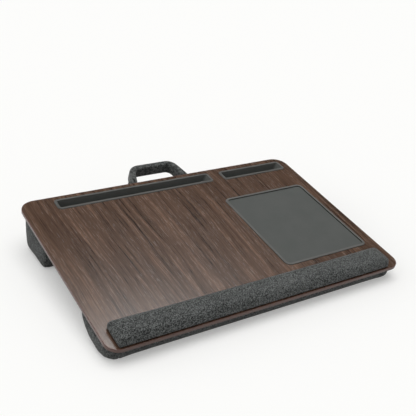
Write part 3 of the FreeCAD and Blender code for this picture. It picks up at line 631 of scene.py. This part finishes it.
def make_rear_bolster():
    heel = (REAR_HEEL, floor_at(REAR_HEEL))
    toe = (REAR_TOE, floor_at(REAR_TOE))
    piece = start_box("rear_bolster", (-REAR_HALF, REAR_FRONT, heel[1] - SPARE),
                      (REAR_HALF, REAR_WALL, -BOARD_THICK))
    trim_between(piece, heel, (REAR_WALL, REAR_WALL_FOOT))
    trim_between(piece, toe, heel)
    trim_between(piece, (REAR_FRONT, -BOARD_THICK), toe)

    def lower_edge(edge):
        return middle_of(edge).z < BELOW_BOARD and along_x(edge)

    def heel_edge(edge):
        return lower_edge(edge) and middle_of(edge).y > REAR_MIDDLE

    def toe_edge(edge):
        return lower_edge(edge) and middle_of(edge).y < REAR_MIDDLE

    def end_edge(edge):
        at_end = all(abs(vertex.co.x) > (REAR_HALF - HAIR) * MM for vertex in edge.verts)
        return middle_of(edge).z < BELOW_BOARD and at_end

    round_edges(piece, REAR_ROUND, 6, heel_edge)
    round_edges(piece, REAR_TOE_ROUND, 4, toe_edge)
    round_edges(piece, REAR_END_ROUND, 4, end_edge)
    apply_new(piece, "REMESH", mode="VOXEL", voxel_size=BOLSTER_VOXEL * MM)
    apply_new(piece, "SMOOTH", factor=0.5, iterations=4)
    swell(piece, STUFFING, REAR_SWELL, lambda place: place.z > REAR_HELD)
    keep_off(piece, COVER_TOP)
    apply_new(piece, "SUBSURF", levels=1)
    for side in (-1, 1):
        press_seam(piece, side * (REAR_HALF - REAR_SEAM_IN), *REAR_SEAM)
    for tray in ("tablet_slot_tray", "phone_slot_tray"):
        low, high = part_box(tray)
        cut_room(piece, (low.x / MM + WELL_RIM, WELL_FRONT, WELL_FLOOR),
                 (high.x / MM - WELL_RIM, WELL_REAR, 0))
    set_down(piece, BOARD_PLACE, "desk", "heather_fabric", HEATHER, 0.8,
             "rear_bolster_cover", "rear_bolster_foam")


def cut_room(piece, low, high):
    """Clear a box out of a piece, from one corner to the other, in millimetres."""
    room = start_box("room", low, high)
    apply_new(piece, "BOOLEAN", operation="DIFFERENCE", object=room, solver="EXACT")
    bpy.data.objects.remove(room)


def make_front_bolster():
    wall = (FRONT_WALL, floor_at(FRONT_WALL))
    foot = (FRONT_FOOT, floor_at(FRONT_FOOT))
    belly = [(y, floor_at(y) + rise) for y, rise in FRONT_BELLY]
    outline = [wall, foot, *belly, (FRONT_REAR, -BOARD_THICK)]
    piece = start_box("front_bolster", (FRONT_LEFT, FRONT_WALL, foot[1] - SPARE),
                      (FRONT_RIGHT, FRONT_REAR, -BOARD_THICK))
    for start, end in zip(outline, outline[1:]):
        trim_between(piece, start, end)

    def upright_edge(edge):
        return abs(middle_of(edge).y - FRONT_WALL) < HAIR and not along_x(edge)

    def sole_edge(edge):
        middle = middle_of(edge)
        return along_x(edge) and middle.z < BELOW_BOARD and middle.y < FRONT_FOOT - 2

    round_edges(piece, FRONT_CORNER, 8, upright_edge)
    round_edges(piece, FRONT_SOLE_ROUND, 4, sole_edge)
    apply_new(piece, "REMESH", mode="VOXEL", voxel_size=BOLSTER_VOXEL * MM)
    round_under(piece)
    apply_new(piece, "SMOOTH", factor=0.5, iterations=5)
    swell(piece, STUFFING, FRONT_SWELL, lambda place: place.z > FRONT_HELD)
    keep_off(piece, COVER_TOP)
    apply_new(piece, "SUBSURF", levels=1)
    for seam in (FRONT_LEFT + FRONT_SEAM_IN, FRONT_RIGHT - FRONT_SEAM_IN):
        press_seam(piece, seam, *FRONT_SEAM)
    set_down(piece, BOARD_PLACE, "desk", "heather_fabric", HEATHER, 0.8,
             "front_bolster_cover", "front_bolster_foam")


def round_under(piece):
    """Draw the bolster's ends in towards the floor, so that their lower edges are round."""
    for vertex in piece.data.vertices:
        height = (vertex.co.dot(UP) + REST_HEIGHT * MM) / MM
        if height < FRONT_SIDE_ROUND:
            drop = 1 - max(height, 0.0) / FRONT_SIDE_ROUND
            draw = FRONT_SIDE_ROUND * (1 - math.sqrt(max(0.0, 1 - drop * drop)))
            for edge, inward in ((FRONT_LEFT, 1), (FRONT_RIGHT, -1)):
                reach = 1 - abs(vertex.co.x / MM - edge) / (FRONT_SIDE_ROUND * 4)
                if reach > 0:
                    vertex.co.x += inward * draw * reach * MM


def make_wrist_cushion():
    """Made deeper than it shows, then cut flat where it lies on its base and tucked at its foot."""
    deep = WRIST_BOTTOM - WRIST_ROOM
    piece = start_box("wrist_cushion", (WRIST_LEFT, WRIST_FRONT, deep),
                      (WRIST_RIGHT, WRIST_REAR, WRIST_TOP))
    trim_between(piece, (WRIST_FRONT + WRIST_LEAN, WRIST_TOP), (WRIST_FRONT, WRIST_BOTTOM))

    def top_edge(edge):
        return middle_of(edge).z > WRIST_TOP - 1

    def rear_top_edge(edge):
        return along_x(edge) and top_edge(edge) and middle_of(edge).y > WRIST_REAR - 1

    def front_top_edge(edge):
        return along_x(edge) and top_edge(edge) and middle_of(edge).y < WRIST_REAR - 20

    def left_top_edge(edge):
        at_left = all(vertex.co.x < (WRIST_LEFT + HAIR) * MM for vertex in edge.verts)
        return top_edge(edge) and at_left

    def right_edge(edge):
        at_right = all(vertex.co.x > (WRIST_RIGHT - HAIR) * MM for vertex in edge.verts)
        return middle_of(edge).z > deep + 0.5 and at_right

    round_edges(piece, WRIST_REAR_ROUND, 5, rear_top_edge)
    round_edges(piece, WRIST_FRONT_ROUND, 3, front_top_edge)
    round_edges(piece, WRIST_LEFT_ROUND, 6, left_top_edge)
    round_edges(piece, WRIST_RIGHT_ROUND, 6, right_edge)
    apply_new(piece, "REMESH", mode="VOXEL", voxel_size=WRIST_VOXEL * MM)
    apply_new(piece, "SMOOTH", factor=0.5, iterations=2)
    swell(piece, STUFFING, WRIST_SWELL, lambda place: place.z < WRIST_HELD)
    apply_new(piece, "SUBSURF", levels=1)
    slice_at(piece, (0.0, 0.0, WRIST_BOTTOM), (0.0, 0.0, -1.0))
    tuck = WRIST_BOTTOM + WRIST_TUCK
    slice_at(piece, (0.0, WRIST_FRONT, tuck), (0.0, -1.0, -2.0))
    for end, way in ((WRIST_LEFT, -1.0), (WRIST_RIGHT, 1.0)):
        slice_at(piece, (end, 0.0, tuck), (way, 0.0, -2.0))
    set_down(piece, BOARD_PLACE, "desk", "heather_fabric", HEATHER, 0.9,
             "wrist_rest_cover", "wrist_rest_foam")


def extrude_along(step, count):
    """Carry the selected end of a form forward by equal steps, in millimetres."""
    for _ in range(count):
        bpy.ops.mesh.extrude_region_move(TRANSFORM_OT_translate={"value": Vector(step) * MM})


def start_handle_section(foot, slope):
    """The sleeve's cross-section at the foot of the right leg, selected in edit mode."""
    bpy.ops.object.select_all(action="DESELECT")
    bpy.ops.mesh.primitive_plane_add(size=1.0, location=foot * MM,
                                     rotation=(math.radians(90), 0.0, slope))
    piece = finish_start("handle_pad")
    pick(piece)
    bpy.ops.object.mode_set(mode="EDIT")
    bpy.ops.mesh.select_all(action="SELECT")
    across = Matrix.Rotation(slope, 3, "Z")
    shape = bmesh.from_edit_mesh(piece.data)
    for vertex in shape.verts:
        offset = across.inverted() @ (vertex.co - foot * MM)
        offset.x *= HANDLE_THICK * MM
        offset.z *= HANDLE_HEIGHT * MM
        vertex.co = foot * MM + across @ offset
    bmesh.update_edit_mesh(piece.data)
    bpy.ops.mesh.bevel(offset=HANDLE_ROUND * MM, segments=3, affect="VERTICES")
    return piece


def spread_legs(piece, bend_y, lean):
    """Splay and flare the handle's soft legs towards their feet."""
    for vertex in piece.data.vertices:
        side = 1 if vertex.co.x > 0 else -1
        down = 1 - vertex.co.y / (bend_y * MM)
        if down > 0:
            middle = (HANDLE_ROOT - vertex.co.y / MM * lean) * MM
            off = (abs(vertex.co.x) - middle) * (1 + HANDLE_FLARE[side] * min(down, 1.0))
            vertex.co.x = side * (middle + off + HANDLE_SPLAY[side] * MM * down)


def make_handle_pad():
    """A padded sleeve swept along the loop: up the right leg, across, and down the left leg."""
    slope = math.atan((HANDLE_ROOT - HANDLE_GRIP) / HANDLE_REACH)
    lean = math.tan(slope)
    bend_y = HANDLE_REACH - HANDLE_BEND
    bend_x = HANDLE_ROOT - bend_y * lean - HANDLE_BEND / math.cos(slope)
    foot_y = -HANDLE_HEIGHT / 2
    leg_end = Vector((bend_x + HANDLE_BEND * math.cos(slope),
                      bend_y + HANDLE_BEND * math.sin(slope), 0.0))
    leg_start = Vector((HANDLE_ROOT - foot_y * lean, foot_y, 0.0))
    leg = (leg_end - leg_start) / LEG_STEPS
    piece = start_handle_section(leg_start, slope)
    extrude_along(leg, LEG_STEPS)
    for side in (1, -1):
        bpy.ops.mesh.spin(steps=BEND_STEPS, angle=slope - math.radians(90),
                          center=(side * bend_x * MM, bend_y * MM, 0.0), axis=(0.0, 0.0, 1.0))
        if side > 0:
            extrude_along((-2 * bend_x / GRIP_STEPS, 0.0, 0.0), GRIP_STEPS)
    extrude_along((leg.x, -leg.y, 0.0), LEG_STEPS)
    bpy.ops.mesh.select_all(action="SELECT")
    bpy.ops.mesh.remove_doubles(threshold=0.05 * MM)
    bpy.ops.mesh.normals_make_consistent(inside=False)
    bpy.ops.object.mode_set(mode="OBJECT")
    swell(piece, HANDLE_STUFFING, HANDLE_SWELL, lambda place: False)
    apply_new(piece, "SUBSURF", levels=2)
    spread_legs(piece, bend_y, lean)
    for side in (-1, 1):
        middle = side * HANDLE_ROOT
        slot_low = (middle - HANDLE_SLOT, -HANDLE_HEIGHT, -HANDLE_HEIGHT)
        slot_high = (middle + HANDLE_SLOT, HANDLE_SLOT_REACH, HANDLE_HEIGHT)
        cut_room(piece, slot_low, slot_high)
    set_down(piece, HANDLE_PLACE, "handle", "handle_felt", FELT, 0.9,
             "handle_sleeve", "handle_padding")
make_rear_bolster()
make_front_bolster()
make_wrist_cushion()
make_handle_pad()


# ------------------------------------------------------------------ floor, light and camera

def make_floor():
    """A white floor that lights the desk from below less than it shows."""
    bpy.ops.object.select_all(action="DESELECT")
    bpy.ops.mesh.primitive_plane_add(size=14.0, location=(0, 0, 0))
    floor = bpy.context.active_object
    floor.name = "floor"
    material = bpy.data.materials.new("floor_white")
    material.use_nodes = True
    material.node_tree.nodes.clear()
    finish = Finish(material.node_tree)
    path = finish.add("ShaderNodeLightPath").outputs
    mirrored = finish.maths("MAXIMUM", path["Is Glossy Ray"], path["Is Transmission Ray"])
    seen = finish.maths("MAXIMUM", path["Is Camera Ray"], mirrored)
    shade = finish.add("ShaderNodeBsdfDiffuse", Color=finish.mix(seen, FLOOR_BOUNCE, FLOOR_SEEN))
    glow = finish.add("ShaderNodeEmission", Color=FLOOR_GLOW, Strength=seen)
    both = finish.add("ShaderNodeAddShader")
    out = finish.add("ShaderNodeOutputMaterial")
    finish.tree.links.new(shade.outputs[0], both.inputs[0])
    finish.tree.links.new(glow.outputs[0], both.inputs[1])
    finish.tree.links.new(both.outputs[0], out.inputs["Surface"])
    floor.data.materials.append(material)


def direction(side, height):
    """The way to a place seen from the desk, in radians: side is 0 in front and turns right."""
    return Vector((math.sin(side) * math.cos(height), -math.cos(side) * math.cos(height),
                   math.sin(height)))


def make_world():
    """A studio: dim all round, bright overhead, a tall soft light on the left and a gloss light."""
    world = bpy.data.worlds.new("studio")
    bpy.context.scene.world = world
    world.use_nodes = True
    finish = Finish(world.node_tree)
    world.node_tree.nodes.clear()
    toward = finish.add("ShaderNodeTexCoord").outputs["Generated"]
    apart = finish.add("ShaderNodeSeparateXYZ", Vector=toward)
    overhead = finish.span(apart.outputs["Z"], *OVERHEAD_FADE, 0.0, OVERHEAD_LEVEL)
    left = finish.span(apart.outputs["X"], *LEFT_FADE, LEFT_LEVEL, 0.0)
    spread = finish.maths("ADD", finish.maths("ADD", overhead, left), DIM_LEVEL)
    near = finish.add("ShaderNodeVectorMath", {"operation": "DOT_PRODUCT"})
    finish.feed(near, "0", toward)
    finish.feed(near, "1", direction(GLOSS_SIDE, GLOSS_HEIGHT))
    shine = finish.span(near.outputs["Value"], *GLOSS_FADE, GLOSS_DIM, GLOSS_LEVEL)
    path = finish.add("ShaderNodeLightPath").outputs
    shine_less = finish.maths("SUBTRACT", shine, spread)
    level = finish.maths("MULTIPLY_ADD", path["Is Glossy Ray"], shine_less, spread)
    seen = finish.maths("MAXIMUM", path["Is Camera Ray"], path["Is Transmission Ray"])
    strength = finish.maths("MULTIPLY_ADD", seen, finish.maths("SUBTRACT", 1.0, level), level)
    sky = finish.add("ShaderNodeBackground", Color=SKY_WHITE, Strength=strength)
    out = finish.add("ShaderNodeOutputWorld")
    world.node_tree.links.new(sky.outputs[0], out.inputs["Surface"])


def make_camera():
    camera = bpy.data.cameras.new("camera")
    camera.lens = CAMERA_LENS
    camera.sensor_width = 36.0
    camera.clip_start = 0.05
    camera.clip_end = 50.0
    holder = bpy.data.objects.new("camera", camera)
    bpy.context.scene.collection.objects.link(holder)
    back = direction(CAMERA_AZIMUTH, CAMERA_ELEVATION)
    straight = back.to_track_quat("Z", "Y").to_matrix()
    roll = Matrix.Rotation(CAMERA_ROLL, 3, "Z")
    holder.rotation_euler = (straight @ roll).to_euler()
    holder.location = Vector(CAMERA_AIM) + back * CAMERA_DISTANCE
    bpy.context.scene.camera = holder


make_floor()
make_world()
make_camera()
bpy.context.scene.view_settings.view_transform = "Standard"
